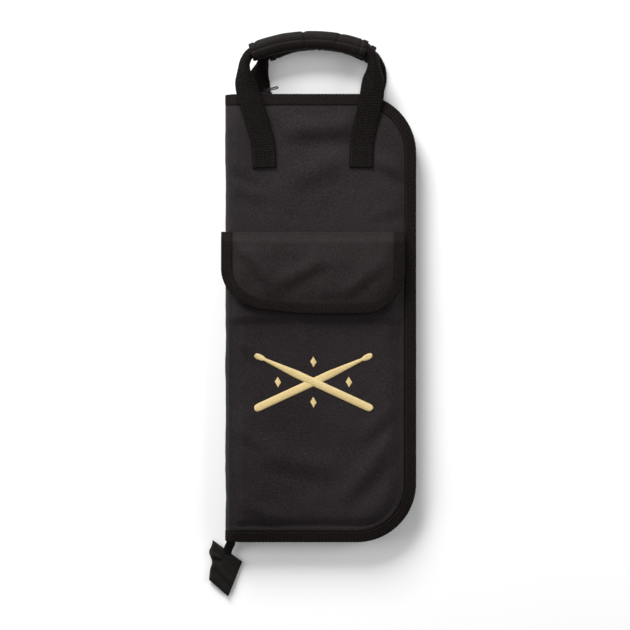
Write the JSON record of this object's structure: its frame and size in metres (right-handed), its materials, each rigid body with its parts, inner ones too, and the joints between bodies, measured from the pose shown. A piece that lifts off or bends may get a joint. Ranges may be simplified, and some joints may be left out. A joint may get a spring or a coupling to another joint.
{
  "type": "drum stick bag",
  "caption": "Soft zipped stick bag that opens like a book, with inner stick sleeves, a flapped outer pocket and two webbing handles with padded grips.",
  "frame": {"origin": "centre of the back panel's flat outer face, halfway between spine and zip side", "axes": "+X from the spine to the zip side, +Y from the tail end to the handles, +Z out of the front face"},
  "size_m": [0.2159, 0.5899, 0.0398],
  "materials": {
    "shell_fabric": "coated woven polyester, black, soft sheen",
    "flap_fabric": "coated woven polyester, black",
    "lining_fabric": "plain nylon lining, black",
    "foam": "soft foam padding, dark grey",
    "binding_tape": "herringbone tape, black",
    "webbing": "ribbed webbing, black",
    "grip_fabric": "smooth woven nylon, black",
    "zip_tape": "knitted zip tape, black",
    "zip_coil": "nylon coil, black",
    "slider_metal": "black lacquered zinc",
    "embroidery": "satin stitched thread, gold",
    "hook_and_loop": "hook and loop strip, black"
  },
  "bodies": {
    "back_half": {"back_shell": "shell_fabric", "back_foam": "foam", "back_lining": "lining_fabric", "stick_sleeves": "lining_fabric", "sleeve_binding": "binding_tape", "back_binding": "binding_tape", "zip_tape_back": "zip_tape", "zip_coil_back": "zip_coil", "zip_stop_back": "slider_metal", "back_webbing_end_left": "webbing", "back_webbing_end_right": "webbing"},
    "front_half": {"front_shell": "shell_fabric", "front_foam": "foam", "front_lining": "lining_fabric", "front_binding": "binding_tape", "zip_tape_front": "zip_tape", "zip_coil_front": "zip_coil", "zip_stop_front": "slider_metal", "pocket": "shell_fabric", "pocket_hem": "shell_fabric", "pocket_loop_strip": "hook_and_loop", "emblem": "embroidery", "front_webbing_end_left": "webbing", "front_webbing_end_right": "webbing"},
    "flap": {"flap_shell": "flap_fabric", "flap_lining": "lining_fabric", "flap_binding": "binding_tape", "flap_hook_strip": "hook_and_loop"},
    "front_handle": {"front_handle_webbing": "webbing", "front_grip_sleeve": "grip_fabric", "front_grip_foam": "foam"},
    "back_handle": {"back_handle_webbing": "webbing", "back_grip_sleeve": "grip_fabric", "back_grip_foam": "foam"},
    "zip_slider": {"zip_slider": "slider_metal"},
    "zip_pull": {"zip_pull": "slider_metal"},
    "zip_tail": {"zip_tail_tape": "zip_tape", "zip_tail_tab": "shell_fabric"}
  },
  "joints": [
    {"name": "cover_open", "type": "hinge", "parent": "back_half", "child": "front_half", "pos_m": [-0.1007, 0, 0.014], "axis": [0, -1, 0], "range_deg": [0, 180]},
    {"name": "flap_open", "type": "hinge", "parent": "front_half", "child": "flap", "pos_m": [0, 0.0902, 0.0311], "axis": [-1, 0, 0], "range_deg": [0, 150]},
    {"name": "front_handle_swing", "type": "hinge", "parent": "front_half", "child": "front_handle", "pos_m": [0, 0.1815, 0.03015], "axis": [-1, 0, 0], "range_deg": [-170, 0]},
    {"name": "back_handle_swing", "type": "hinge", "parent": "back_half", "child": "back_handle", "pos_m": [0, 0.242, 0.0017], "axis": [-1, 0, 0], "range_deg": [-85, 0]},
    {"name": "slider_travel", "type": "slide", "parent": "back_half", "child": "zip_slider", "axis": [1, 0, 0], "range_m": [0, 0.089]},
    {"name": "pull_swing", "type": "hinge", "parent": "zip_slider", "child": "zip_pull", "pos_m": [-0.0575, 0.2387, 0.014], "axis": [0, -0.5592, 0.829], "range_deg": [0, 110]},
    {"name": "zip_tail_swing", "type": "hinge", "parent": "back_half", "child": "zip_tail", "pos_m": [-0.0928, -0.2364, 0.014], "axis": [0, 0, 1], "range_deg": [-18, 25]}
  ],
  "couplings": [
    {"joint": "back_handle_swing", "follows": "front_handle_swing", "ratio": 0.5}
  ]
}
